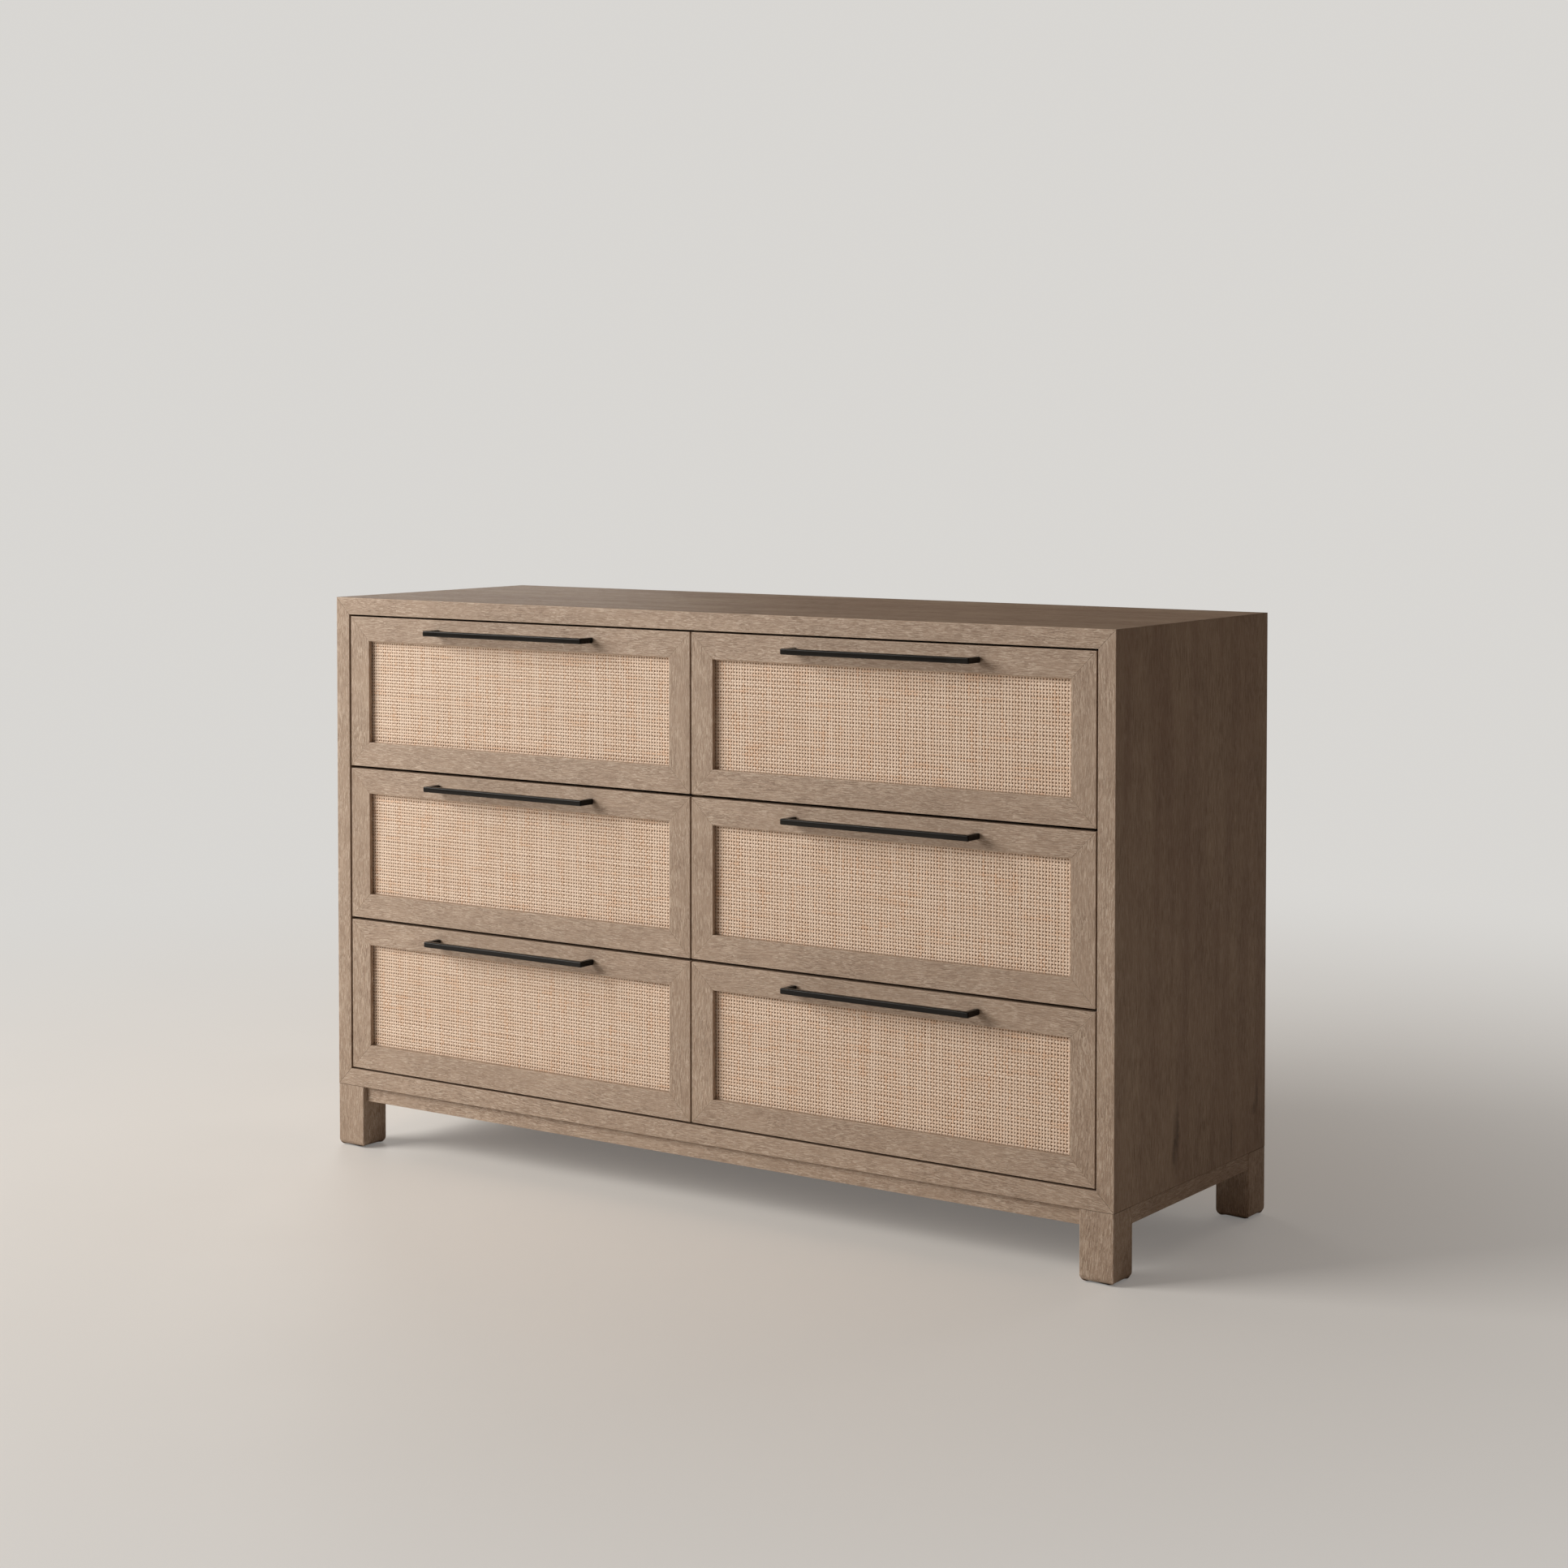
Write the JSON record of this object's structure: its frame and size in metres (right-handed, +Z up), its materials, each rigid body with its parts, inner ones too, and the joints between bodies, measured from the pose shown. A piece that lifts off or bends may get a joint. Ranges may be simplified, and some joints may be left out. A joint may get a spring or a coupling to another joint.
{
  "type": "dresser with drawers",
  "caption": "Wide low dresser with side-by-side stacks of drawers: mitred wood frames round woven cane panels, slim black bar pulls, mitred carcass and short square legs.",
  "frame": {"origin": "bottom centre of the whole piece, bar pulls included, on the floor", "axes": "+Z up, +X along the width to the right of someone facing the drawers, +Y to the back; the drawers open towards -Y"},
  "size_m": [1.46, 0.512, 0.915],
  "materials": {
    "oak": "grey-brown cerused oak, matt lacquer, grain along each piece",
    "cane": "natural woven cane webbing in a square open weave over a thin brown backing board",
    "pull_metal": "satin black powder coat",
    "slide_steel": "bright zinc plate",
    "drawer_box_wood": "clear-lacquered birch ply and solid birch",
    "back_board": "smooth brown hardboard",
    "glide_nylon": "black nylon"
  },
  "bodies": {
    "carcass": {"top_panel": "oak", "bottom_panel": "oak", "left_side_panel": "oak", "right_side_panel": "oak", "centre_divider": "drawer_box_wood", "back_panel": "back_board", "front_apron": "oak", "rear_apron": "oak", "left_apron": "oak", "right_apron": "oak", "front_left_leg": "oak", "front_right_leg": "oak", "rear_left_leg": "oak", "rear_right_leg": "oak", "front_left_glide": "glide_nylon", "front_right_glide": "glide_nylon", "rear_left_glide": "glide_nylon", "rear_right_glide": "glide_nylon", "upper_left_slide_left": "slide_steel", "upper_left_slide_right": "slide_steel", "upper_right_slide_left": "slide_steel", "upper_right_slide_right": "slide_steel", "middle_left_slide_left": "slide_steel", "middle_left_slide_right": "slide_steel", "middle_right_slide_left": "slide_steel", "middle_right_slide_right": "slide_steel", "lower_left_slide_left": "slide_steel", "lower_left_slide_right": "slide_steel", "lower_right_slide_left": "slide_steel", "lower_right_slide_right": "slide_steel"},
    "upper_left_drawer": {"upper_left_front_frame": "oak", "upper_left_cane_panel": "cane", "upper_left_pull": "pull_metal", "upper_left_box": "drawer_box_wood", "upper_left_box_bottom": "drawer_box_wood"},
    "upper_right_drawer": {"upper_right_front_frame": "oak", "upper_right_cane_panel": "cane", "upper_right_pull": "pull_metal", "upper_right_box": "drawer_box_wood", "upper_right_box_bottom": "drawer_box_wood"},
    "middle_left_drawer": {"middle_left_front_frame": "oak", "middle_left_cane_panel": "cane", "middle_left_pull": "pull_metal", "middle_left_box": "drawer_box_wood", "middle_left_box_bottom": "drawer_box_wood"},
    "middle_right_drawer": {"middle_right_front_frame": "oak", "middle_right_cane_panel": "cane", "middle_right_pull": "pull_metal", "middle_right_box": "drawer_box_wood", "middle_right_box_bottom": "drawer_box_wood"},
    "lower_left_drawer": {"lower_left_front_frame": "oak", "lower_left_cane_panel": "cane", "lower_left_pull": "pull_metal", "lower_left_box": "drawer_box_wood", "lower_left_box_bottom": "drawer_box_wood"},
    "lower_right_drawer": {"lower_right_front_frame": "oak", "lower_right_cane_panel": "cane", "lower_right_pull": "pull_metal", "lower_right_box": "drawer_box_wood", "lower_right_box_bottom": "drawer_box_wood"}
  },
  "joints": [
    {"name": "upper_left_travel", "type": "slide", "parent": "carcass", "child": "upper_left_drawer", "axis": [0, -1, 0], "range_m": [0, 0.3]},
    {"name": "upper_right_travel", "type": "slide", "parent": "carcass", "child": "upper_right_drawer", "axis": [0, -1, 0], "range_m": [0, 0.3]},
    {"name": "middle_left_travel", "type": "slide", "parent": "carcass", "child": "middle_left_drawer", "axis": [0, -1, 0], "range_m": [0, 0.3]},
    {"name": "middle_right_travel", "type": "slide", "parent": "carcass", "child": "middle_right_drawer", "axis": [0, -1, 0], "range_m": [0, 0.3]},
    {"name": "lower_left_travel", "type": "slide", "parent": "carcass", "child": "lower_left_drawer", "axis": [0, -1, 0], "range_m": [0, 0.3]},
    {"name": "lower_right_travel", "type": "slide", "parent": "carcass", "child": "lower_right_drawer", "axis": [0, -1, 0], "range_m": [0, 0.3]}
  ]
}
